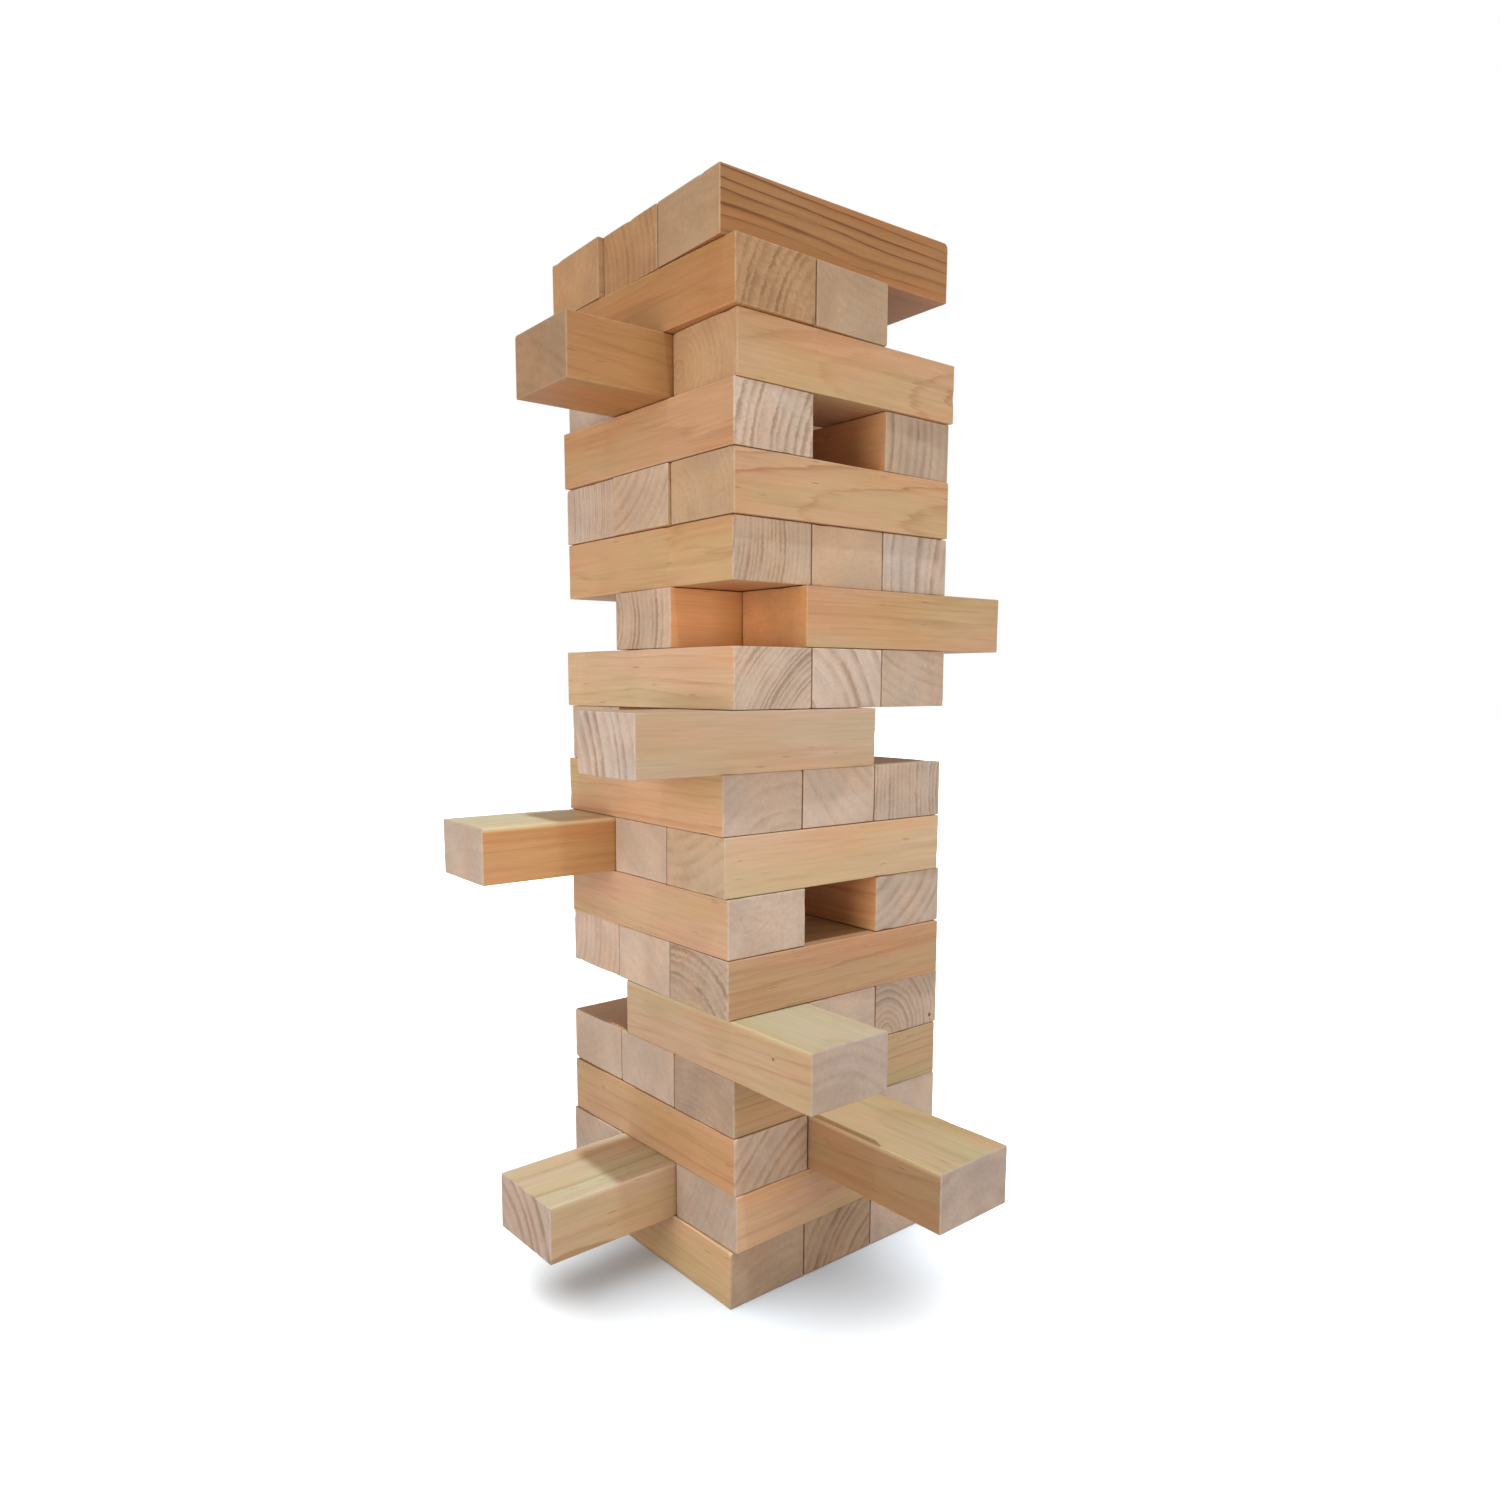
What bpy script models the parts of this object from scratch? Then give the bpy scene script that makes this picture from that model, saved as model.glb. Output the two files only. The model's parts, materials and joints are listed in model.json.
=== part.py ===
"""Giant tumbling tower: loose pine blocks stacked crosswise in eighteen levels, part way through a game.

Units are metres, +Z is up. The origin is on the ground at the centre of the bottom level.
Even levels lie along Y and odd levels lie along X. In a level, "left", "middle" and "right" are as
seen by someone facing the block ends: from -Y on an even level, from +X on an odd level.
"""

import math

import bmesh
import bpy
from mathutils import Vector

# Driving dimensions: one block is 7.5 x 2.5 x 1.5 inches.
BLOCK_LENGTH = 0.1905
BLOCK_WIDTH = 0.0635
BLOCK_HEIGHT = 0.0381
LEVELS = 18

# Clearances between loose blocks.
LEVEL_GAP = 0.0003
SIDE_GAP = 0.0008

# The sanded rounding along every edge.
EDGE_ROUND = 0.0015
EDGE_SEGMENTS = 2

LEVEL_PITCH = BLOCK_HEIGHT + LEVEL_GAP
SLOT_PITCH = BLOCK_WIDTH + SIDE_GAP
SLOTS = {"left": -1, "middle": 0, "right": 1}

# Blocks already taken out of the tower.
TAKEN = {(17, "right"), (15, "middle"), (12, "left"), (10, "middle"), (7, "middle")}

# Blocks pushed along their own length: positive is +Y on even levels and +X on odd levels.
PUSHED = {
    (18, "left"): -0.004,
    (16, "middle"): -0.075,
    (14, "middle"): -0.002,
    (12, "right"): 0.059,
    (10, "right"): -0.071,
    (8, "left"): -0.100,
    (5, "left"): 0.071,
    (3, "middle"): 0.112,
    (2, "middle"): -0.098,
}

# Levels that were knocked off square: shift along X, shift along Y, turn in degrees.
KNOCKED = {
    18: (-0.005, -0.002, -1.5),
    17: (0.001, -0.002, 1.25),
    16: (-0.001, 0.004, -0.25),
    15: (-0.002, 0.001, 0.75),
    14: (-0.002, 0.002, 0.0),
    13: (-0.004, 0.004, 0.0),
    11: (0.001, -0.001, 0.75),
    10: (0.003, 0.0, -0.5),
    9: (0.0, -0.002, -1.5),
    8: (0.0, -0.002, -1.5),
    7: (0.001, -0.001, -0.75),
    6: (0.001, -0.001, -1.25),
    5: (0.001, 0.0, 0.25),
    4: (0.0, 0.0, 0.25),
    3: (0.001, 0.0, 0.75),
    2: (0.0, -0.001, 1.5),
}

# Linear base colours of the tones that a pine set is sorted into.
TONES = {
    "honey": (0.50, 0.30, 0.145),
    "amber": (0.53, 0.27, 0.095),
    "cream": (0.60, 0.43, 0.23),
    "rose": (0.50, 0.31, 0.185),
    "brown": (0.38, 0.215, 0.105),
}
DEFAULT_TONE = "honey"
BLOCK_TONES = {
    (18, "right"): "brown",
    (17, "left"): "amber",
    (16, "middle"): "amber",
    (14, "left"): "rose",
    (13, "right"): "rose",
    (12, "middle"): "amber",
    (11, "left"): "cream",
    (11, "middle"): "cream",
    (10, "right"): "rose",
    (8, "left"): "amber",
    (8, "right"): "cream",
    (7, "left"): "rose",
    (6, "left"): "rose",
    (5, "left"): "cream",
    (4, "right"): "brown",
    (3, "middle"): "cream",
    (2, "middle"): "cream",
    (1, "middle"): "brown",
}
WOOD_ROUGHNESS = 0.55


def clear_scene():
    for thing in list(bpy.data.objects):
        bpy.data.objects.remove(thing, do_unlink=True)


def new_collection(name):
    collection = bpy.data.collections.new(name)
    bpy.context.scene.collection.children.link(collection)
    return collection


def pine_material(name, tone):
    """Sanded, unvarnished pine."""
    material = bpy.data.materials.new(name)
    material.use_nodes = True
    material.diffuse_color = (*TONES[tone], 1.0)
    shader = material.node_tree.nodes["Principled BSDF"]
    shader.inputs["Base Color"].default_value = (*TONES[tone], 1.0)
    shader.inputs["Roughness"].default_value = WOOD_ROUGHNESS
    shader.inputs["Metallic"].default_value = 0.0
    return material


def block_mesh(name):
    """A box about the origin, its length along X."""
    mesh = bpy.data.meshes.new(name)
    box = bmesh.new()
    bmesh.ops.create_cube(box, size=1.0)
    size = Vector((BLOCK_LENGTH, BLOCK_WIDTH, BLOCK_HEIGHT))
    bmesh.ops.scale(box, vec=size, verts=box.verts)
    box.to_mesh(mesh)
    box.free()
    return mesh


def round_edges(block):
    bevel = block.modifiers.new("sanded edges", "BEVEL")
    bevel.width = EDGE_ROUND
    bevel.segments = EDGE_SEGMENTS
    bevel.limit_method = "NONE"


def empty(name, collection, parent=None):
    helper = bpy.data.objects.new(name, None)
    helper.empty_display_size = BLOCK_HEIGHT / 2
    helper.parent = parent
    collection.objects.link(helper)
    return helper


def add_level(level, tower, collection):
    """An empty at the middle of one level, turned so that its X axis runs along the blocks."""
    shift_x, shift_y, turn = KNOCKED.get(level, (0.0, 0.0, 0.0))
    centre_z = (level - 1) * LEVEL_PITCH + BLOCK_HEIGHT / 2
    along = 90.0 if level % 2 == 0 else 0.0
    helper = empty(f"level_{level:02d}", collection, tower)
    helper.location = (shift_x, shift_y, centre_z)
    helper.rotation_euler = (0.0, 0.0, math.radians(along + turn))
    return helper


def add_block(level, slot, helper, collection):
    """One loose block. Its origin is at its own centre, so it slides along its own X axis."""
    name = f"level_{level:02d}_{slot}"
    block = bpy.data.objects.new(name, block_mesh(name))
    # Facing the ends of an even level from -Y, left is its empty's +Y, since the empty is turned.
    across = -SLOTS[slot] if level % 2 == 0 else SLOTS[slot]
    block.parent = helper
    block.location = (PUSHED.get((level, slot), 0.0), across * SLOT_PITCH, 0.0)
    tone = BLOCK_TONES.get((level, slot), DEFAULT_TONE)
    block.data.materials.append(pine_material(f"pine_{name}", tone))
    round_edges(block)
    collection.objects.link(block)


def build_tower():
    collection = new_collection("giant_tumbling_tower")
    tower = empty("tower", collection)
    for level in range(1, LEVELS + 1):
        helper = add_level(level, tower, collection)
        for slot in SLOTS:
            if (level, slot) not in TAKEN:
                add_block(level, slot, helper, collection)


clear_scene()
build_tower()
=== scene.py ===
"""Giant tumbling tower: a game in progress, built from loose sanded pine blocks.

Every block of the frame gets a detailed piece of its own: rounded edges painted lighter as wear
and a painted highlight, knocked corners and a solid pine grain that runs through the block from
face to face. Units are metres and +Z is up.
"""

import json
import math

import bpy
import numpy as np
from mathutils import Matrix, Vector


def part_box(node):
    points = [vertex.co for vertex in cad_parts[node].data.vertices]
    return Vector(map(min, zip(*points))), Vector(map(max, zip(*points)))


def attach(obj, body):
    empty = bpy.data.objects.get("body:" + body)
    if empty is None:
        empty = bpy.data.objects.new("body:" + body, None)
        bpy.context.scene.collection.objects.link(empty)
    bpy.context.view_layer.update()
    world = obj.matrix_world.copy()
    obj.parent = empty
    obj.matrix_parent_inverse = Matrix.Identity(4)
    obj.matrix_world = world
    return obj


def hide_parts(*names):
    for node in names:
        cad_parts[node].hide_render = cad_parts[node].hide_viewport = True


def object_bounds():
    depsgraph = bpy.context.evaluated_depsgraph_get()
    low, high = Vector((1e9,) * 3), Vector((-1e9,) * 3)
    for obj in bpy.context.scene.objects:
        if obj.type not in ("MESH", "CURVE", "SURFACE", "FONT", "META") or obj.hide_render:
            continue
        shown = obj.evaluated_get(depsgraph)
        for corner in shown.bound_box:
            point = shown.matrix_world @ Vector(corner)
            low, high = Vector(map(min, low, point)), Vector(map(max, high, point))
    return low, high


MM = 0.001

# The camera stands in front of the tower's near corner, a little above its middle.
CAMERA_PLACE = (0.588, -0.492, 0.400)
CAMERA_YAW = 51.76
CAMERA_DIP = 7.47
CAMERA_LENS = 25.31
CAMERA_SHIFT = (0.0191, 0.0476)

# A lamp almost overhead and a softbox facing each visible side of the tower. The room is brighter
# above and behind the tower, and a wash keeps the floor white.
SUN_FROM = (0.185, -0.093, 1.0)
SUN_ANGLE = 1.8
SUN_STRENGTH = 1.9
SUN_COLOUR = (0.78, 1.0, 1.16)
LEFT_BOX_PLACE = (0.25, -1.30, 0.45)
LEFT_BOX_POWER = 3.2
RIGHT_BOX_PLACE = (1.28, 0.12, 0.45)
RIGHT_BOX_POWER = 2.2
BOX_SIZE = 0.7
BOX_SPREAD = 110
ROOM_LOW = 0.26
ROOM_ABOVE = 0.10
BACKDROP = 0.14
BACKDROP_TOWARDS = (-0.785, 0.619, 0.15)
ABOVE_BLEND = (0.30, 0.85)
BACKDROP_BLEND = (0.30, 0.90)
WASH_FROM = (-0.12, 0.10, 1.0)
WASH_ANGLE = 100
WASH_STRENGTH = 5.8

# The floor's colour as the camera sees it, near the tower and away from it, and as it lights the
# tower from below. Near the tower it is darker and bluer: painted shade round the base.
FLOOR_SHADED_NEAR = (0.81, 0.90, 0.98)
FLOOR_FAR = (0.94, 0.95, 0.95)
FLOOR_BLEND = (0.10, 0.25)
FLOOR_BOUNCE = (0.36, 0.355, 0.35)
FLOOR_REACH = 6.0
FLOOR_DROP = 0.2 * MM

# Linear colours of each tone: spring wood, summer wood and sawn end.
TONES = {
    "honey": ((0.62, 0.385, 0.205), (0.42, 0.20, 0.080), (0.56, 0.415, 0.315)),
    "amber": ((0.58, 0.305, 0.120), (0.37, 0.150, 0.045), (0.54, 0.375, 0.265)),
    "cream": ((0.70, 0.480, 0.285), (0.47, 0.26, 0.115), (0.60, 0.447, 0.352)),
    "rose": ((0.60, 0.385, 0.235), (0.42, 0.22, 0.115), (0.55, 0.405, 0.310)),
    "brown": ((0.50, 0.295, 0.140), (0.24, 0.11, 0.038), (0.52, 0.365, 0.260)),
}

# Linear colour of a block's pale top face: a painted sheen and overhead light on the top.
PAINTED_TOP_BASE = np.array((0.61, 0.490, 0.310))

# What a fully amber block gains or loses of each colour, as a share.
AMBER = np.array((0.1, -0.2, -0.5))

# Wood colours that every block shares.
DUCT_COLOUR = (0.18, 0.075, 0.03, 1.0)
KNOT_COLOUR = (0.16, 0.07, 0.03, 1.0)
# Lighter edge colour: partly wear, partly a painted highlight along the edges.
WEAR_AND_HIGHLIGHT_COLOUR = (0.78, 0.60, 0.38, 1.0)

# Tints that multiply the wood's colour in broad patches.
WARM_SIDE = (1.03, 0.90, 0.80, 1.0)
PINK_SIDE = (1.05, 0.965, 1.0, 1.0)
YELLOW_SIDE = (0.96, 1.0, 0.92, 1.0)
WARM_END = (1.04, 0.97, 0.91, 1.0)
DARK_END = (0.66, 0.58, 0.50, 1.0)

# How dark one year's ring is from its inner to its outer side: (share of the ring, darkness).
SIDE_YEAR = (
    (0.0, 0.4), (0.05, 0.03), (0.5, 0.05), (0.78, 0.24), (0.91, 0.8), (0.97, 1.0), (1.0, 0.5),
)
END_YEAR = ((0.0, 0.55), (0.14, 0.05), (0.42, 0.10), (0.70, 0.65), (0.88, 1.0), (1.0, 0.6))

# How far the rings stray from true circles, in metres.
WANDER_WIDE = 11 * MM
WANDER_FINE = 1.6 * MM
RAGGED_SMOOTH = 1.2 * MM
RAGGED_FUZZ = 4.0 * MM

# Steps over which the look of an end, an edge and the painted pale top sets in, in metres.
END_SKIN = (0.5 * MM, 1.0 * MM)
EDGE_SKIN = (0.2 * MM, 1.5 * MM)
EDGE_RAGGED = 1.8 * MM
PAINTED_TOP_STEP = 1.5 * MM
RELIEF = 0.1 * MM

# How each block was cut from the log, in its own axes: X along it, Y across it, Z up.
# pith: where the log's centre lies from the block's centre, in mm across and up.
# drift: how far that centre moves across and up over 100 mm of length, in mm.
# ring: width of one year's ring in mm. late: how dark the summer wood is. From 0 to 1 it mixes in
# more of the tone's summer colour, and above 1 the dark lines also get wider.
# end_late: the same on the sawn ends. fade: how much paler it gets towards the underside.
# shade: brightness of the long faces. amber: how much redder they are, or paler if negative.
# end: brightness of the sawn ends. warm: how much of the long faces' colour is in the ends, and
# above 1 how much redder they are as well. At the blocks noted below, these four also hold painted
# light and shade.
# fuzz: roughness of the sawn ends, from 0 to 1. painted_top: above this height, in mm, the top
# face is painted paler and greyer, a painted sheen and overhead light.
# painted_top_bright: brightness of that painted top.
# knot: centre of a small knot in mm and its radius.
CUTS = {
    # At level 18 the lower shade and end values are partly painted shade: the light falls off
    # towards the top of the tower.
    (18, "left"): dict(
        pith=(70, 50), drift=(3, 4), ring=7, late=0.3, end_late=0.2, shade=0.9, end=0.8,
        warm=1.35,
    ),
    (18, "middle"): dict(
        pith=(90, -10), drift=(-3, 5), ring=6, late=0.3, end_late=0.6, shade=0.9, end=0.73,
        warm=1.45,
    ),
    (18, "right"): dict(
        pith=(8, -111.7), drift=(1, -2), ring=6.5, late=2.1, end_late=0.2, fade=0.7, shade=0.77,
        amber=0.65, end=0.93, warm=0.7,
    ),
    (17, "left"): dict(
        pith=(85, -50), drift=(4, 6), ring=6.5, late=0.45, end_late=1.25, shade=0.82, amber=0.1,
        end=0.84, warm=0.75, fuzz=1,
    ),
    (17, "middle"): dict(
        pith=(25, 80), drift=(2, 0), ring=6, late=0.3, end_late=0.2, shade=0.9, end=0.78,
        warm=0.6,
    ),
    (16, "left"): dict(pith=(-60, 60), drift=(0, 3), ring=6, late=0.25),
    (16, "middle"): dict(
        pith=(35, -85), drift=(0, -9), ring=8, late=0.6, end_late=0.4, shade=0.76, amber=0.25,
        end=0.67, warm=0.55,
    ),
    (16, "right"): dict(
        pith=(18, -4), drift=(-7, 2), ring=4.5, late=0.8, end_late=0.35, shade=0.93, end=0.86,
        warm=1.15,
    ),
    (15, "left"): dict(
        pith=(100, -28), drift=(3, 2), ring=7, late=0.5, end_late=1.4, shade=0.86, amber=0.15,
        end=1.12, fuzz=0.6,
    ),
    # shade and amber here are partly painted light: the orange of light bounced along the tunnel
    # wall this side forms.
    (15, "right"): dict(
        pith=(-110, 5), drift=(2, 0), ring=8, late=0.5, end_late=0.85, shade=1.1, amber=0.45,
        end=0.86, warm=0.3,
    ),
    (14, "left"): dict(pith=(110, 8), drift=(0, 3), ring=3.6, late=0.4, end_late=0.85, end=1.05),
    (14, "middle"): dict(pith=(70, 70), drift=(4, 0), ring=8, late=0.3, end_late=0.5, warm=0.35),
    (14, "right"): dict(
        pith=(40, -16), drift=(-5, 3), ring=5, late=0.7, end_late=0.2, fade=0.3, shade=0.93,
        end=0.84, warm=0.8,
    ),
    (13, "left"): dict(
        pith=(-105, 10), drift=(2, 1), ring=3.6, late=0.35, end_late=0.95, shade=0.97, amber=0.15,
        end=0.96, warm=0.35,
    ),
    (13, "middle"): dict(
        pith=(10, -140), drift=(0, 3), ring=7, late=0.2, end_late=0.1, end=0.94, warm=0.5,
    ),
    (13, "right"): dict(
        pith=(115, -5), drift=(2, 0), ring=8, late=0.3, end_late=0.9, end=1.08, warm=-0.3,
    ),
    (12, "middle"): dict(
        pith=(48, 4), drift=(0, 4), ring=5, late=0.4, end_late=1.05, shade=1.15, amber=0.2,
        end=1.08,
    ),
    # warm here is partly the end's own warm tone and partly painted warm bounce light in the recess
    # it faces.
    (12, "right"): dict(
        pith=(5, -95), drift=(0, 1), ring=4.2, late=0.4, end_late=0.2, shade=0.88, end=0.82,
        warm=1.8,
    ),
    (11, "left"): dict(
        pith=(80, -75), drift=(0, 1), ring=4, late=0.4, end_late=0.95, shade=0.94, end=0.92,
        warm=0.2,
    ),
    (11, "middle"): dict(pith=(-85, -62), drift=(3, 0), ring=11, late=0.45, end_late=0.9, end=1.05),
    (11, "right"): dict(
        pith=(40, 120), drift=(0, 3), ring=7, late=0.1, end_late=0.4, end=0.88, warm=0.1,
    ),
    (10, "left"): dict(pith=(-90, 40), drift=(3, 3), ring=6, late=0.3),
    (10, "right"): dict(
        pith=(170, -45), drift=(1, 2), ring=8, late=0.4, end_late=1.5, shade=0.9, amber=-0.25,
        end=1.08, warm=-0.4,
    ),
    (9, "left"): dict(pith=(18, -62), drift=(0, 3), ring=8, late=0.6, end_late=0.4, end=0.94),
    (9, "middle"): dict(pith=(80, 80), drift=(3, 0), ring=9, late=0.15, end_late=0.4),
    (9, "right"): dict(pith=(105, 0), drift=(0, 2), ring=4, late=0.35, end_late=0.85, end=0.92),
    # The top face above the given height is painted paler and greyer: a painted sheen and overhead
    # light.
    (8, "left"): dict(
        pith=(-20, -110), drift=(2, 2), ring=8, late=0.3, end_late=0.2, shade=1, warm=-0.25,
        painted_top=16.5, painted_top_bright=1.25,
    ),
    (8, "middle"): dict(pith=(-60, 90), drift=(3, 3), ring=9, late=0.15, warm=0.2),
    (8, "right"): dict(
        pith=(30, 85), drift=(3, 5), ring=9, late=0.15, end_late=0.4, shade=0.85, end=0.8,
        warm=0.75,
    ),
    (7, "left"): dict(
        pith=(15, 78), drift=(3, -6), ring=9, late=0.45, end_late=0.2, shade=1, amber=0.1,
        fuzz=0.6,
    ),
    # shade and amber here are partly painted light: the orange of light bounced along the tunnel
    # wall this side forms.
    (7, "right"): dict(
        pith=(-75, 65), drift=(0, 4), ring=10, late=0.4, end_late=0.6, shade=1.14, amber=0.45,
        end=0.89,
    ),
    (6, "left"): dict(pith=(100, 20), drift=(0, 2), ring=7, late=0.3, end_late=0.5, end=1.2),
    (6, "middle"): dict(pith=(60, -90), drift=(2, 2), ring=9, late=0.15, end=1.1),
    (6, "right"): dict(
        pith=(30, -60), drift=(3, 9), ring=6, late=0.5, end_late=1, shade=0.76, amber=0.1,
        end=0.92, warm=0.2, fuzz=1,
    ),
    # The top face above the given height is painted paler and greyer: a painted sheen and overhead
    # light.
    (5, "left"): dict(
        pith=(-14, -62), drift=(0, 8), ring=9, late=0.4, end_late=0.3, shade=0.78, end=0.75,
        painted_top=16.5, painted_top_bright=0.95, knot=(62, -32, 6, 1.1),
    ),
    (5, "middle"): dict(pith=(30, -90), drift=(0, 3), ring=7, late=0.2),
    (5, "right"): dict(
        pith=(-24, -18), drift=(2, 0), ring=4.5, late=0.5, end_late=0.85, end=0.92,
        knot=(95, 25, -13, 1.8),
    ),
    (4, "left"): dict(pith=(50, 80), drift=(3, 0), ring=8, late=0.15),
    (4, "middle"): dict(pith=(-70, 60), drift=(3, 0), ring=8, late=0.15),
    (4, "right"): dict(
        pith=(15, -72), drift=(0, 2), ring=5, late=0.6, end_late=0.3, shade=1.04, amber=-0.4,
        end=0.84,
    ),
    (3, "left"): dict(
        pith=(58, -70), drift=(2, 4), ring=8, late=0.55, end_late=0.8, shade=0.92, end=0.95,
        warm=0.15,
    ),
    # The top face above the given height is painted paler and greyer: a painted sheen and overhead
    # light.
    (3, "middle"): dict(
        pith=(6, -46), drift=(0, 8), ring=14.3, late=0.9, end_late=0.8, shade=0.52, amber=0.45,
        end=0.74, painted_top=16.5, painted_top_bright=0.88,
    ),
    (3, "right"): dict(pith=(90, 40), drift=(2, 2), ring=9, late=0.2),
    (2, "left"): dict(pith=(-50, 70), drift=(2, 2), ring=7, late=0.3),
    # The top face above the given height is painted paler and greyer: a painted sheen and overhead
    # light.
    (2, "middle"): dict(
        pith=(52, -36), drift=(0, 3), ring=10, late=0.7, end_late=1.1, shade=0.82, end=0.9,
        painted_top=16.5, painted_top_bright=1.02,
    ),
    (2, "right"): dict(
        pith=(100, 40), drift=(0, 5), ring=6, late=0.3, shade=1.07, amber=-0.15, end=0.93,
    ),
    # shade is raised partly as painted bounce light on the side that level 2's pulled-out block
    # shades.
    (1, "left"): dict(
        pith=(20, -110), drift=(0, 2), ring=7, late=0.25, shade=1.14, amber=-0.1, end=0.82,
        warm=0.5,
    ),
    (1, "middle"): dict(
        pith=(70, -55), drift=(2, 2), ring=7, late=0.45, end_late=1, end=0.98, warm=0.3,
    ),
    (1, "right"): dict(pith=(-60, -60), drift=(2, 2), ring=6, late=0.4),
}


# ---- nodes ----


class Graph:
    """Short ways to add linked nodes to one node tree. Inputs are sockets or plain values."""

    def __init__(self, tree):
        self.tree = tree

    def add(self, kind, **settings):
        node = self.tree.nodes.new("ShaderNode" + kind)
        for name, value in settings.items():
            setattr(node, name, value)
        return node

    def feed(self, socket, value):
        if isinstance(value, bpy.types.NodeSocket):
            self.tree.links.new(value, socket)
        else:
            socket.default_value = value

    def math(self, operation, *values, clamp=False):
        node = self.add("Math", operation=operation, use_clamp=clamp)
        for socket, value in zip(node.inputs, values):
            self.feed(socket, value)
        return node.outputs[0]

    def vector(self, operation, *values):
        node = self.add("VectorMath", operation=operation)
        for socket, value in zip(node.inputs, values):
            self.feed(socket, value)
        gives_number = operation in ("LENGTH", "DISTANCE", "DOT_PRODUCT")
        return node.outputs["Value" if gives_number else "Vector"]

    def join(self, x, y, z):
        node = self.add("CombineXYZ")
        for socket, value in zip(node.inputs, (x, y, z)):
            self.feed(socket, value)
        return node.outputs[0]

    def split(self, vector):
        node = self.add("SeparateXYZ")
        self.feed(node.inputs[0], vector)
        return node.outputs

    def step(self, value, low, high, to_low=0.0, to_high=1.0):
        """A smooth step from to_low at low to to_high at high."""
        node = self.add("MapRange", interpolation_type="SMOOTHSTEP")
        for socket, given in zip(node.inputs, (value, low, high, to_low, to_high)):
            self.feed(socket, given)
        return node.outputs["Result"]

    def noise(self, vector, scale=1.0, detail=2.0, rough=0.5):
        node = self.add("TexNoise")
        self.feed(node.inputs["Vector"], vector)
        self.feed(node.inputs["Scale"], scale)
        self.feed(node.inputs["Detail"], detail)
        self.feed(node.inputs["Roughness"], rough)
        return node.outputs

    def noise_line(self, place, detail=1.0):
        """Noise along one number."""
        node = self.add("TexNoise", noise_dimensions="1D")
        self.feed(node.inputs["W"], place)
        self.feed(node.inputs["Scale"], 1.0)
        self.feed(node.inputs["Detail"], detail)
        return node.outputs[0]

    def mix(self, share, first, second, blend="MIX"):
        node = self.add("Mix", data_type="RGBA", blend_type=blend, clamp_factor=True)
        self.feed(node.inputs["Factor"], share)
        for socket, value in zip((node.inputs[6], node.inputs[7]), (first, second)):
            self.feed(socket, value)
        return node.outputs[2]

    def tint(self, colour, amount):
        """The colour made lighter or darker by a plain number."""
        return self.vector("SCALE", colour, (0, 0, 0), (0, 0, 0), amount)

    def ramp(self, share, stops):
        node = self.add("ValToRGB")
        band = node.color_ramp
        for place, level in stops[1:-1]:
            band.elements.new(place)
        for element, (place, level) in zip(band.elements, stops):
            element.position = place
            element.color = (level, level, level, 1.0)
        self.feed(node.inputs[0], share)
        return node.outputs[0]


GRAIN_INPUTS = {
    "Seed": ("Float", 0.0),
    "Pith Y": ("Float", 0.06),
    "Pith Z": ("Float", 0.06),
    "Drift Y": ("Float", 0.0),
    "Drift Z": ("Float", 0.0),
    "Ring": ("Float", 0.007),
    "Late": ("Float", 0.4),
    "End late": ("Float", 0.4),
    "Fade": ("Float", 0.0),
    "Fuzz": ("Float", 0.3),
    "Spring": ("Color", (0.6, 0.4, 0.2, 1.0)),
    "Summer": ("Color", (0.4, 0.2, 0.1, 1.0)),
    "End": ("Color", (0.55, 0.4, 0.3, 1.0)),
    "Half": ("Vector", (0.095, 0.032, 0.019)),
    "Painted top height": ("Float", 1.0),
    "Painted top colour": ("Color", (0.62, 0.480, 0.285, 1.0)),
    "Knot": ("Vector", (0.0, 0.0, 0.0)),
    "Knot size": ("Float", 0.0),
}


def grain_interface(tree):
    for name, (kind, value) in GRAIN_INPUTS.items():
        socket = tree.interface.new_socket(name, in_out="INPUT", socket_type=f"NodeSocket{kind}")
        socket.default_value = value
    for name, kind in (("Color", "Color"), ("Roughness", "Float"), ("Normal", "Vector")):
        tree.interface.new_socket(name, in_out="OUTPUT", socket_type=f"NodeSocket{kind}")


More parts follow.
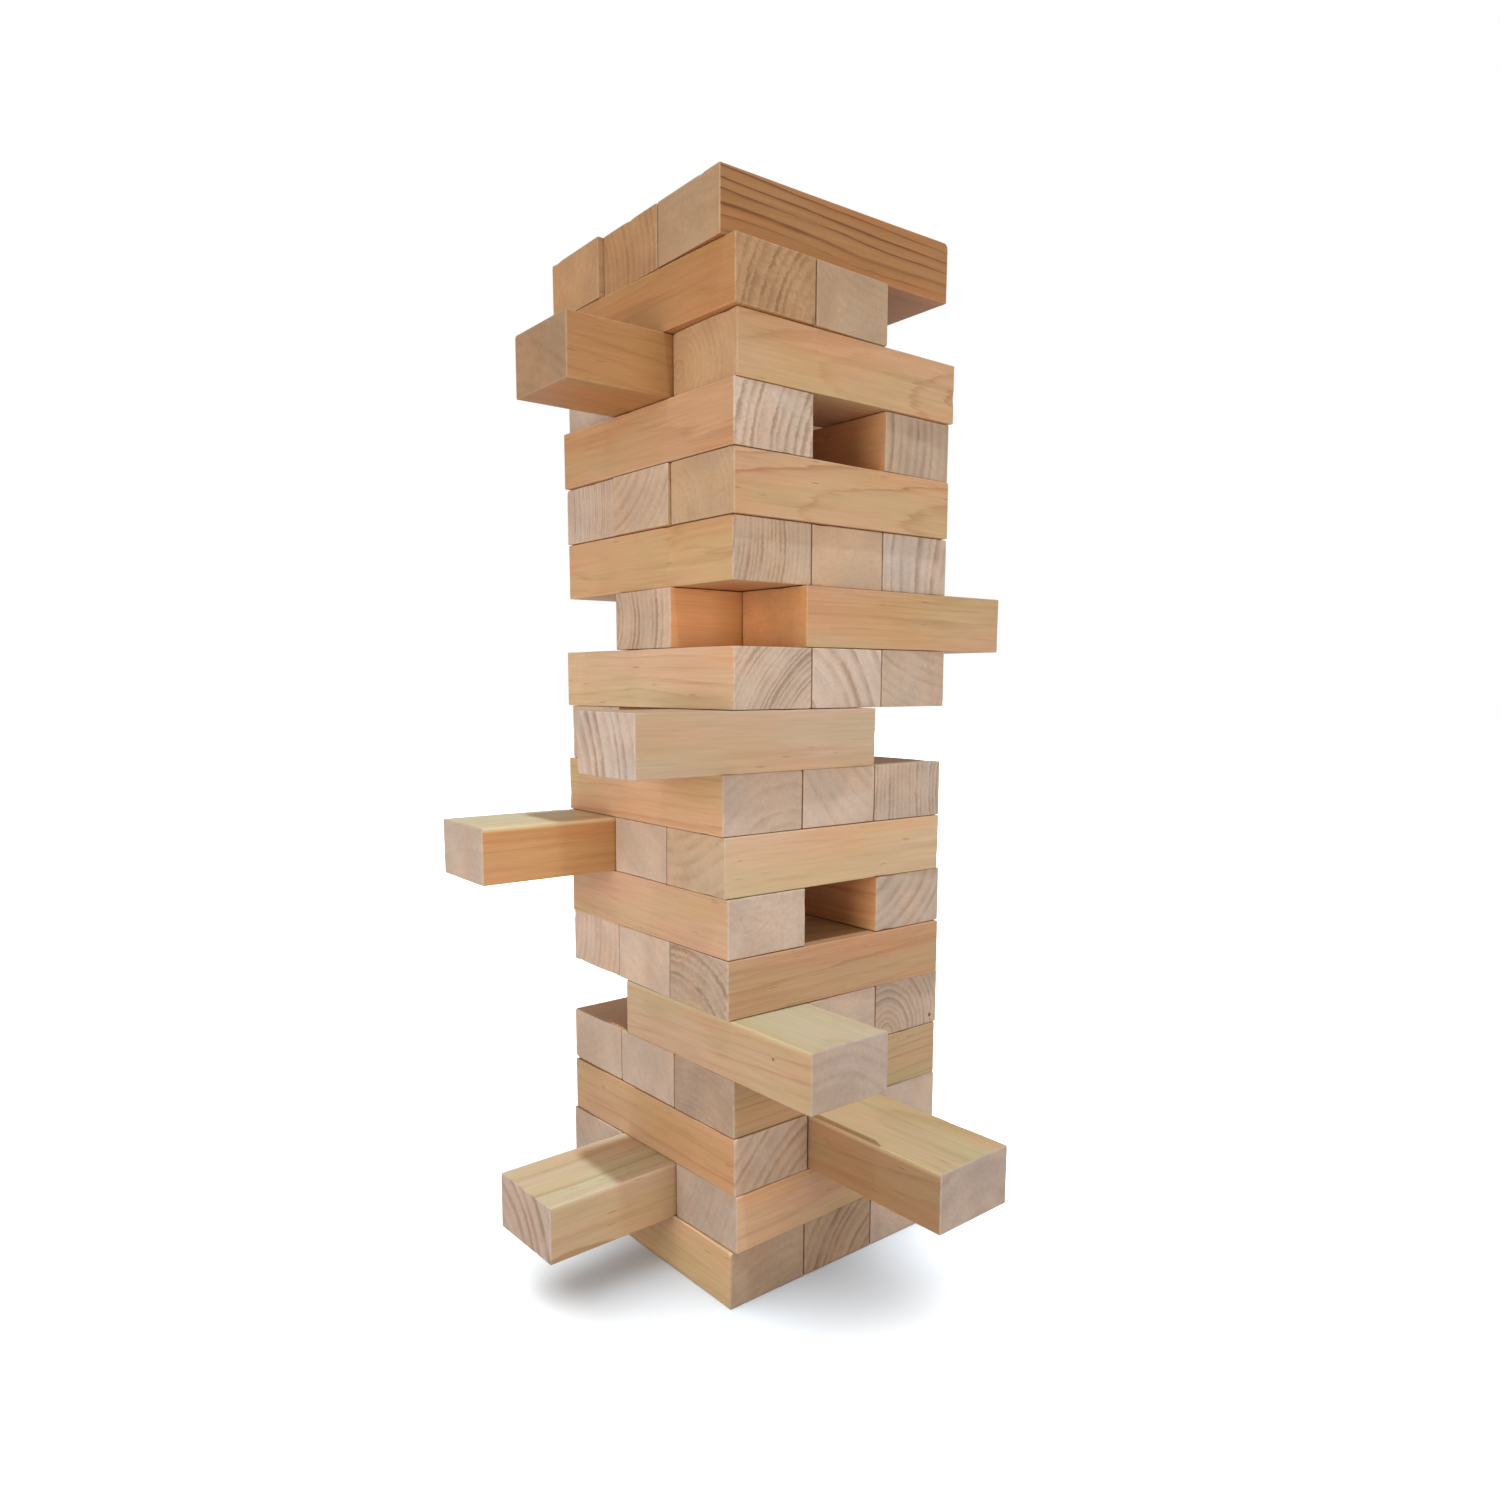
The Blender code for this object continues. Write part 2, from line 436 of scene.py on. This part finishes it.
def ring_pattern(g, given, place):
    """What the log's rings give at a place in the block.

    Returns how much summer wood shows on the long faces and on the sawn ends, the shares of the
    painted pale top (a painted sheen and overhead light) and of a knot, and the place moved by the
    block's seed, for more noise.
    """
    seed = given["Seed"]
    moved = g.vector("ADD", place, g.join(g.math("MULTIPLY", seed, 1.7), seed, seed))
    x, y, z = g.split(place)

    # The log's rings wander a little on their way along the block.
    wide = g.noise(g.vector("MULTIPLY", moved, (6.0, 14.0, 14.0)), detail=1.0)["Color"]
    fine = g.noise(g.vector("MULTIPLY", moved, (22.0, 90.0, 90.0)), detail=1.0)["Color"]
    wander_wide = g.vector("SUBTRACT", wide, (0.5, 0.5, 0.5))
    wander_fine = g.vector("SUBTRACT", fine, (0.5, 0.5, 0.5))
    _, wide_y, wide_z = g.split(wander_wide)
    _, fine_y, fine_z = g.split(wander_fine)
    ragged = g.noise(g.vector("MULTIPLY", moved, (16.0, 420.0, 420.0)), detail=2.0, rough=0.6)[0]
    ragged_size = g.math("MULTIPLY_ADD", given["Fuzz"], RAGGED_FUZZ, RAGGED_SMOOTH)

    def from_pith(across, pith, drift, wide_part, fine_part):
        centre = g.math("MULTIPLY_ADD", x, drift, pith)
        distance = g.math("SUBTRACT", across, centre)
        distance = g.math("MULTIPLY_ADD", wide_part, WANDER_WIDE, distance)
        return g.math("MULTIPLY_ADD", fine_part, WANDER_FINE, distance)

    ry = from_pith(y, given["Pith Y"], given["Drift Y"], wide_y, fine_y)
    rz = from_pith(z, given["Pith Z"], given["Drift Z"], wide_z, fine_z)
    radius = g.vector("LENGTH", g.join(0.0, ry, rz))
    radius = g.math("MULTIPLY_ADD", g.math("SUBTRACT", ragged, 0.5), ragged_size, radius)

    # Rings swell round a knot.
    off_knot = g.vector("DISTANCE", place, given["Knot"])
    knot_wide = g.math("MAXIMUM", g.math("MULTIPLY", given["Knot size"], 4.0), 1e-6)
    near_knot = g.step(g.math("DIVIDE", off_knot, knot_wide), 0.0, 1.0, 1.0, 0.0)
    swell = g.math("MULTIPLY", near_knot, g.math("MULTIPLY", given["Knot size"], 1.5))
    radius = g.math("ADD", radius, swell)

    # Good years and bad years: the rings' widths and darkness differ.
    turn = g.math("DIVIDE", radius, given["Ring"])
    uneven = g.noise_line(g.math("MULTIPLY_ADD", turn, 0.55, g.math("MULTIPLY", seed, 31.0)))
    turn = g.math("MULTIPLY_ADD", uneven, 0.9, turn)
    year = g.math("FLOOR", turn)
    in_year = g.math("FRACT", turn)
    dice = g.add("TexWhiteNoise", noise_dimensions="1D")
    g.feed(dice.inputs["W"], g.math("ADD", year, g.math("MULTIPLY", seed, 57.0)))
    late = g.ramp(in_year, SIDE_YEAR)
    strength = g.math("MULTIPLY_ADD", dice.outputs["Value"], 0.95, 0.2)
    along = g.noise(g.vector("MULTIPLY", moved, (11.0, 60.0, 60.0)), detail=2.0)[0]
    strength = g.math("MULTIPLY", strength, g.step(along, 0.30, 0.62, 0.4, 1.15))
    half_z = g.split(given["Half"])[2]
    low = g.step(g.math("DIVIDE", z, half_z), -1.0, 0.5, 1.0, 0.0)
    kept = g.math("SUBTRACT", 1.0, g.math("MULTIPLY", low, given["Fade"]))
    strength = g.math("MULTIPLY", strength, kept)
    late = g.math("MULTIPLY", late, strength)
    end_late = g.math("MULTIPLY", g.ramp(in_year, END_YEAR), strength)

    knot_core = g.math("MULTIPLY", given["Knot size"], 0.6)
    knot = g.step(off_knot, knot_core, given["Knot size"], 1.0, 0.0)
    is_knot = g.math("GREATER_THAN", given["Knot size"], 1e-5)
    # Above a given height the top face is painted paler: a painted sheen and overhead light.
    past = g.math("SUBTRACT", z, given["Painted top height"])
    painted_top = g.step(past, -PAINTED_TOP_STEP, PAINTED_TOP_STEP)
    return late, end_late, painted_top, g.math("MULTIPLY", knot, is_knot), moved


def end_and_edge(g, given, place, moved):
    """(1 on the sawn ends, 1 along the edges: wear and a painted highlight) at a place in the
    block.
    """
    depth = g.vector("SUBTRACT", given["Half"], g.vector("ABSOLUTE", place))
    dx, dy, dz = g.split(depth)
    end = g.step(dx, *END_SKIN, 1.0, 0.0)
    low = g.math("MINIMUM", dx, dy)
    high = g.math("MAXIMUM", dx, dy)
    middle = g.math("MAXIMUM", low, g.math("MINIMUM", high, dz))
    ragged = g.noise(g.vector("MULTIPLY", moved, (160.0, 260.0, 260.0)), detail=2.0)[0]
    middle = g.math("MULTIPLY_ADD", g.math("SUBTRACT", ragged, 0.5), EDGE_RAGGED, middle)
    return end, g.step(middle, *EDGE_SKIN, 1.0, 0.0)


def pine_grain():
    """One node group that every block's material shares: solid pine in the block's own axes."""
    tree = bpy.data.node_groups.new("pine grain", "ShaderNodeTree")
    grain_interface(tree)
    g = Graph(tree)
    given = tree.nodes.new("NodeGroupInput").outputs
    place = g.add("TexCoord").outputs["Object"]
    late, end_late, painted_top, knot, moved = ring_pattern(g, given, place)
    end, edge = end_and_edge(g, given, place, moved)

    # Fibres and broad changes of tone along the grain.
    fibre = g.noise(g.vector("MULTIPLY", moved, (26.0, 620.0, 620.0)), detail=3.0, rough=0.6)[0]
    cloud = g.noise(g.vector("MULTIPLY", moved, (7.0, 26.0, 26.0)), detail=2.0)[0]
    streak = g.noise(g.vector("MULTIPLY", moved, (6.0, 150.0, 150.0)), detail=2.0, rough=0.6)[0]
    streak = g.step(streak, 0.50, 0.74)

    # Short resin ducts, dark dashes on the long faces.
    duct = g.add("TexVoronoi", feature="F1")
    g.feed(duct.inputs["Vector"], g.vector("MULTIPLY", moved, (48.0, 520.0, 520.0)))
    g.feed(duct.inputs["Scale"], 1.0)
    duct_near = g.step(duct.outputs["Distance"], 0.10, 0.26, 1.0, 0.0)
    duct_pick = g.step(g.split(duct.outputs["Color"])[0], 0.86, 1.0)
    duct_mark = g.math("MULTIPLY", duct_near, duct_pick)

    # Painted pale top: a paler, greyer colour with fainter summer lines, a painted sheen and
    # overhead light.
    spring = g.mix(painted_top, given["Spring"], given["Painted top colour"])
    paler = g.math("MULTIPLY_ADD", painted_top, -0.45, 1.0)
    dark = g.math("MULTIPLY", g.math("MULTIPLY", late, paler), given["Late"])
    side = g.mix(dark, spring, given["Summer"])
    warm = g.mix(1.0, side, WARM_SIDE, "MULTIPLY")
    side = g.mix(g.step(cloud, 0.42, 0.70), side, warm)
    side = g.mix(g.math("MULTIPLY", streak, 0.28), side, given["Summer"])
    slow = g.noise(g.vector("MULTIPLY", moved, (7.0, 34.0, 34.0)), detail=2.0)[0]
    slow = g.step(slow, 0.32, 0.68)
    drifted = g.mix(slow, PINK_SIDE, YELLOW_SIDE)
    side = g.mix(1.0, side, drifted, "MULTIPLY")
    side = g.tint(side, g.math("MULTIPLY_ADD", fibre, 0.34, 0.83))
    side = g.mix(g.math("MULTIPLY", duct_mark, 0.55), side, DUCT_COLOUR)

    # The sawn ends are greyer, and torn fibres speckle them.
    pore = g.noise(g.vector("MULTIPLY", moved, (420.0, 420.0, 420.0)), detail=3.0, rough=0.65)[0]
    torn = g.noise(g.vector("MULTIPLY", moved, (260.0, 200.0, 330.0)), detail=2.0)[0]
    torn = g.math("MULTIPLY", g.step(torn, 0.46, 0.66), given["Fuzz"])
    dark_end = g.mix(1.0, given["End"], DARK_END, "MULTIPLY")
    sawn = g.mix(g.math("MULTIPLY", end_late, given["End late"]), given["End"], dark_end)
    warm_end = g.mix(1.0, sawn, WARM_END, "MULTIPLY")
    sawn = g.mix(g.step(cloud, 0.40, 0.68), sawn, warm_end)
    sawn = g.tint(sawn, g.math("MULTIPLY_ADD", slow, -0.14, 1.07))
    sawn = g.tint(sawn, g.math("MULTIPLY_ADD", pore, 0.30, 0.85))
    sawn = g.mix(g.math("MULTIPLY", torn, 0.30), sawn, dark_end)

    colour = g.mix(end, side, sawn)
    colour = g.mix(knot, colour, KNOT_COLOUR)
    # Lighter edges: partly wear, partly a painted highlight along the edges.
    wear_and_highlight = g.mix(0.35, colour, WEAR_AND_HIGHLIGHT_COLOUR)
    colour = g.mix(g.math("MULTIPLY", edge, 0.3), colour, wear_and_highlight)

    rough = g.math("MULTIPLY_ADD", fibre, 0.12, 0.46)
    rough = g.math("MULTIPLY_ADD", end, 0.16, rough)
    rough = g.math("MULTIPLY_ADD", late, -0.05, rough, clamp=True)

    # Relief in tenths of a millimetre: raised summer wood, fibres, torn ends.
    relief = g.math("MULTIPLY_ADD", late, 0.25, g.math("MULTIPLY", fibre, 0.55))
    end_relief = g.math("MULTIPLY_ADD", torn, 1.4, g.math("MULTIPLY", pore, 1.0))
    blend = g.add("Mix", data_type="FLOAT")
    for number, value in ((0, end), (2, relief), (3, end_relief)):
        g.feed(blend.inputs[number], value)
    bump = g.add("Bump")
    g.feed(bump.inputs["Strength"], 0.7)
    g.feed(bump.inputs["Distance"], RELIEF)
    g.feed(bump.inputs["Height"], blend.outputs[0])

    out = tree.nodes.new("NodeGroupOutput").inputs
    g.feed(out["Color"], colour)
    g.feed(out["Roughness"], rough)
    g.feed(out["Normal"], bump.outputs["Normal"])
    return tree


def wood_colours(tone, cut):
    """(spring wood, summer wood, sawn end, painted pale top) of one block."""
    spring, summer, end = (np.array(colour) for colour in TONES[tone])
    warmth = cut.get("warm", 0.0)
    end = (end + min(warmth, 1.0) * (spring - end)) * cut.get("end", 1.0)
    end *= 1 + max(warmth - 1.0, 0.0) * AMBER
    amber = 1 + cut.get("amber", 0.0) * AMBER
    shade = cut.get("shade", 1.0)
    painted_top_colour = PAINTED_TOP_BASE * amber * cut.get("painted_top_bright", 1.0)
    return spring * amber * shade, summer * amber * shade, end, painted_top_colour


def pine_material(name, tone, cut, seed, half, grain):
    material = bpy.data.materials.new(name)
    material.use_nodes = True
    g = Graph(material.node_tree)
    shader = material.node_tree.nodes["Principled BSDF"]
    shader.inputs["Specular IOR Level"].default_value = 0.5
    shader.inputs["IOR"].default_value = 1.45
    wood = g.add("Group", node_tree=grain)
    spring, summer, end, painted_top_colour = wood_colours(tone, cut)
    knot = cut.get("knot", (0, 0, 0, 0))
    values = {
        "Seed": seed,
        "Pith Y": cut["pith"][0] * MM,
        "Pith Z": cut["pith"][1] * MM,
        "Drift Y": cut["drift"][0] / 100,
        "Drift Z": cut["drift"][1] / 100,
        "Ring": cut["ring"] * MM,
        "Late": cut["late"],
        "End late": cut.get("end_late", cut["late"]),
        "Fade": cut.get("fade", 0.0),
        "Fuzz": cut.get("fuzz", 0.25),
        "Spring": (*spring, 1.0),
        "Summer": (*summer, 1.0),
        "End": (*end, 1.0),
        "Painted top colour": (*painted_top_colour, 1.0),
        "Half": tuple(half),
        "Painted top height": cut.get("painted_top", 1000) * MM,
        "Knot": tuple(v * MM for v in knot[:3]),
        "Knot size": knot[3] * MM,
    }
    for socket, value in values.items():
        wood.inputs[socket].default_value = value
    g.feed(shader.inputs["Base Color"], wood.outputs["Color"])
    g.feed(shader.inputs["Roughness"], wood.outputs["Roughness"])
    g.feed(shader.inputs["Normal"], wood.outputs["Normal"])
    return material


# ---- meshes ----

# Mesh lines this far in from each edge, then this far apart.
EDGE_TICKS = np.array([0.0, 0.25, 0.6, 1.1, 2.0, 3.6, 6.0]) * MM
LONG_STEP = 8 * MM
SHORT_STEP = 6 * MM

# Sanded edges are rounded by the least plus up to the more, and the faces dip, all in mm. The
# waves over which both change are in metres.
SOFT_LEAST = 0.4
SOFT_MORE = 0.45
SOFT_WAVE = 60 * MM
DIP_RANGE = (0.05, 0.3)
DIP_WAVE = 150 * MM


def ticks(half, step, extra=()):
    """Places of the mesh lines along one axis: close together at both edges and at the extras."""
    reach = half - EDGE_TICKS[-1]
    inner = np.linspace(-reach, reach, max(2, round(2 * reach / step)) + 1)
    edge = half - EDGE_TICKS[:-1]
    places = np.concatenate([-edge, inner, edge, [e for e in extra if abs(e) < reach]])
    places = np.unique(np.round(places, 5))
    keep = np.concatenate([[True], np.diff(places) > 0.2 * MM])
    keep[-1] = True
    return places[keep]


def lattice(xs, ys, zs):
    """(points, quads) of a box's surface, with mesh lines at the given places."""
    shape = (len(xs), len(ys), len(zs))
    i, j, k = np.indices(shape)
    on_skin = (
        (i == 0) | (i == shape[0] - 1)
        | (j == 0) | (j == shape[1] - 1)
        | (k == 0) | (k == shape[2] - 1)
    )
    number = np.full(shape, -1)
    number[on_skin] = np.arange(on_skin.sum())
    points = np.stack([xs[i[on_skin]], ys[j[on_skin]], zs[k[on_skin]]], axis=1)
    quads = []
    for axis in range(3):
        for side in (0, -1):
            face = np.take(number, side, axis=axis)
            a, b = face[:-1, :-1].ravel(), face[1:, :-1].ravel()
            c, d = face[1:, 1:].ravel(), face[:-1, 1:].ravel()
            outward = (side == -1) != (axis == 1)
            quads.append(np.stack([a, b, c, d] if outward else [d, c, b, a], axis=1))
    return points, np.concatenate(quads)


def ripple(rng, points, wavelength, count=5):
    """Smooth random waves from 0 to 1 over the points."""
    total = np.zeros(len(points))
    for _ in range(count):
        direction = rng.normal(size=3)
        direction *= 2 * math.pi / (wavelength * np.linalg.norm(direction))
        total += np.sin(points @ direction + rng.uniform(0, 2 * math.pi))
    return np.clip(0.5 + total / (2 * count) * 1.6, 0, 1)


def knocks(rng, half):
    """Random bruises on the edges and corners: (centre, inward direction, length, width, depth)."""
    found = []
    for _ in range(rng.integers(3, 7)):
        axis = rng.choice(3, p=(0.6, 0.25, 0.15))
        signs = rng.choice((-1.0, 1.0), size=3)
        centre = signs * half
        centre[axis] = rng.uniform(-0.9, 0.9) * half[axis]
        inward = -signs
        inward[axis] = 0.0
        length = rng.uniform(2.0, 7.0) * MM
        found.append((centre, inward, length, 0.4 * length, rng.uniform(0.2, 0.6) * MM))
    for _ in range(rng.integers(1, 4)):
        signs = rng.choice((-1.0, 1.0), size=3)
        size = rng.uniform(0.9, 2.0) * MM
        found.append((signs * half, -signs, size, size, rng.uniform(0.2, 0.6) * MM))
    return found


def block_points(rng, half, points, bruises):
    """The box's points moved inward into a sanded, slightly worn block."""
    soft = (SOFT_LEAST + SOFT_MORE * ripple(rng, points, SOFT_WAVE)) * MM
    core = half - soft[:, None]
    inner = np.clip(points, -core, core)
    out = points - inner
    length = np.maximum(np.linalg.norm(out, axis=1, keepdims=True), 1e-9)
    shaped = inner + out / length * soft[:, None]

    # A planed board is never quite flat: each face dips a little, always inward.
    for axis in range(3):
        for sign in (-1.0, 1.0):
            dip = rng.uniform(*DIP_RANGE) * MM * ripple(rng, points, DIP_WAVE)
            share = np.clip(0.5 + 0.5 * sign * points[:, axis] / half[axis], 0, 1)
            shaped[:, axis] -= sign * dip * share

    for centre, inward, long, wide, depth in bruises:
        offset = points - centre
        along = np.abs(inward) < 0.5
        near = np.exp(-((offset[:, along] / long) ** 2).sum(axis=1))
        near *= np.exp(-((offset[:, ~along] / wide) ** 2).sum(axis=1))
        shaped += near[:, None] * inward / np.linalg.norm(inward) * depth
    return shaped


def block_mesh(name, rng, half):
    bruises = knocks(rng, half)
    extra = [[], [], []]
    for centre, inward, long, _, _ in bruises:
        for axis in np.flatnonzero(np.abs(inward) < 0.5):
            extra[axis] += [centre[axis] + long * t for t in (-1.5, -0.9, -0.4, 0, 0.4, 0.9, 1.5)]
    steps = (LONG_STEP, SHORT_STEP, SHORT_STEP)
    places = [ticks(h, step, more) for h, step, more in zip(half, steps, extra)]
    points, quads = lattice(*places)
    mesh = bpy.data.meshes.new(name)
    mesh.from_pydata(block_points(rng, half, points, bruises).tolist(), [], quads.tolist())
    mesh.shade_smooth()
    mesh.update()
    return mesh


# ---- blocks ----


def block_frame(node):
    """(place and turn of the block as a matrix, half sizes) read from the CAD node's points."""
    points = np.array([v.co for v in node.data.vertices], float)
    low, high = (np.array(corner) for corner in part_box(node.name))
    centre = (low + high) / 2
    flat = points[:, :2] - centre[:2]
    along = np.append(np.linalg.svd(flat, full_matrices=False)[2][0], 0.0)
    along *= np.sign(along[0] + along[1])
    across = np.cross((0, 0, 1), along)
    axes = np.stack([along, across, (0.0, 0.0, 1.0)])
    half = np.abs((points - centre) @ axes.T).max(axis=0)
    turn = Matrix(axes.T.tolist()).to_4x4()
    return Matrix.Translation(Vector(centre)) @ turn, half


def add_block(node_name, tone, grain, bodies):
    level, slot = int(node_name[6:8]), node_name[9:]
    seed = level * 3 + ("left", "middle", "right").index(slot)
    place, half = block_frame(frame["nodes"][node_name])
    name = f"block_{level:02d}_{slot}"
    block = bpy.data.objects.new(name, block_mesh(name, np.random.default_rng(seed), half))
    bpy.context.scene.collection.objects.link(block)
    block.matrix_world = place
    cut = CUTS[(level, slot)]
    block.data.materials.append(pine_material(f"pine_{name}", tone, cut, seed * 0.37, half, grain))
    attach(block, bodies[node_name])
    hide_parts(node_name)
    return block


def add_blocks():
    record = frame["record"]
    bodies = {node: body for body, nodes in record["behaviour"]["bodies"].items() for node in nodes}
    grain = pine_grain()
    for part in record["subparts"]:
        tone = part["material_slot"].removeprefix("pine_")
        add_block(part["node"], tone, grain, bodies)


# ---- stage ----


def add_floor():
    mesh = bpy.data.meshes.new("floor")
    signs = ((-1, -1), (1, -1), (1, 1), (-1, 1))
    corners = [(x * FLOOR_REACH, y * FLOOR_REACH, 0) for x, y in signs]
    mesh.from_pydata(corners, [], [(0, 1, 2, 3)])
    floor = bpy.data.objects.new("floor", mesh)
    floor.location.z = -FLOOR_DROP
    bpy.context.scene.collection.objects.link(floor)
    material = bpy.data.materials.new("white floor")
    material.use_nodes = True
    g = Graph(material.node_tree)
    shader = material.node_tree.nodes["Principled BSDF"]
    seen = g.add("LightPath").outputs["Is Camera Ray"]
    away = g.vector("LENGTH", g.add("TexCoord").outputs["Object"])
    # Painted shade: the floor the camera sees is darker and bluer near the tower.
    shown = g.mix(g.step(away, *FLOOR_BLEND), (*FLOOR_SHADED_NEAR, 1.0), (*FLOOR_FAR, 1.0))
    white = g.mix(seen, (*FLOOR_BOUNCE, 1.0), shown)
    g.feed(shader.inputs["Base Color"], white)
    shader.inputs["Roughness"].default_value = 1.0
    shader.inputs["Specular IOR Level"].default_value = 0.0
    mesh.materials.append(material)
    return floor


def add_room():
    """A white world, brighter above and behind the tower. The camera sees it plain white."""
    world = bpy.data.worlds.new("white room")
    world.use_nodes = True
    g = Graph(world.node_tree)
    background = world.node_tree.nodes["Background"]
    background.inputs["Color"].default_value = (1.0, 1.0, 1.0, 1.0)
    towards = g.add("TexCoord").outputs["Generated"]
    above = g.step(g.split(towards)[2], *ABOVE_BLEND, 0.0, ROOM_ABOVE)
    facing = g.vector("DOT_PRODUCT", towards, Vector(BACKDROP_TOWARDS).normalized())
    behind = g.step(facing, *BACKDROP_BLEND, 0.0, BACKDROP)
    strength = g.math("ADD", g.math("ADD", above, behind), ROOM_LOW)
    seen = g.add("LightPath").outputs["Is Camera Ray"]
    g.feed(background.inputs["Strength"], g.math("MAXIMUM", seen, strength))
    bpy.context.scene.world = world


def add_light(name, kind, towards, strength):
    light = bpy.data.objects.new(name, bpy.data.lights.new(name, kind))
    light.data.energy = strength
    light.rotation_mode = "QUATERNION"
    light.rotation_quaternion = Vector(towards).to_track_quat("-Z", "Y")
    bpy.context.scene.collection.objects.link(light)
    return light


def link_floor(light, floor, state):
    """The lamp lights only the floor, or everything but the floor."""
    linked = bpy.data.collections.new(f"floor and {light.name}")
    linked.objects.link(floor)
    light.light_linking.receiver_collection = linked
    linked.collection_objects[0].light_linking.link_state = state


def add_lights(middle, floor):
    sun = add_light("sun", "SUN", -Vector(SUN_FROM), SUN_STRENGTH)
    sun.data.angle = math.radians(SUN_ANGLE)
    sun.data.color = SUN_COLOUR
    link_floor(sun, floor, "EXCLUDE")
    wash = add_light("wash", "SUN", -Vector(WASH_FROM), WASH_STRENGTH)
    wash.data.angle = math.radians(WASH_ANGLE)
    link_floor(wash, floor, "INCLUDE")
    boxes = (
        ("left box", LEFT_BOX_PLACE, LEFT_BOX_POWER),
        ("right box", RIGHT_BOX_PLACE, RIGHT_BOX_POWER),
    )
    for name, place, power in boxes:
        box = add_light(name, "AREA", Vector(middle) - Vector(place), power)
        box.location = place
        box.data.size = BOX_SIZE
        box.data.spread = math.radians(BOX_SPREAD)
        link_floor(box, floor, "EXCLUDE")


def add_camera():
    camera = bpy.data.objects.new("camera", bpy.data.cameras.new("camera"))
    camera.location = CAMERA_PLACE
    camera.rotation_euler = (math.radians(90 - CAMERA_DIP), 0.0, math.radians(CAMERA_YAW))
    camera.data.lens = CAMERA_LENS
    camera.data.shift_x, camera.data.shift_y = CAMERA_SHIFT
    camera.data.clip_start = 0.01
    bpy.context.scene.collection.objects.link(camera)
    bpy.context.scene.camera = camera


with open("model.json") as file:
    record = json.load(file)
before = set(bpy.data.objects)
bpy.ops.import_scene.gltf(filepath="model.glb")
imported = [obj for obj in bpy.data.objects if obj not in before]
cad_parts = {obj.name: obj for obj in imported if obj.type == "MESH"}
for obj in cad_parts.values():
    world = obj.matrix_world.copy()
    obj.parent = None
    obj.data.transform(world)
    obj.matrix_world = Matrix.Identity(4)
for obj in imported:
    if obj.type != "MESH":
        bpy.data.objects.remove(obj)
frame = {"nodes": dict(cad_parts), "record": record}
cad_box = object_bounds()
add_blocks()
floor = add_floor()
add_room()
add_lights((cad_box[0] + cad_box[1]) / 2, floor)
add_camera()
bpy.context.scene.view_settings.view_transform = "Standard"
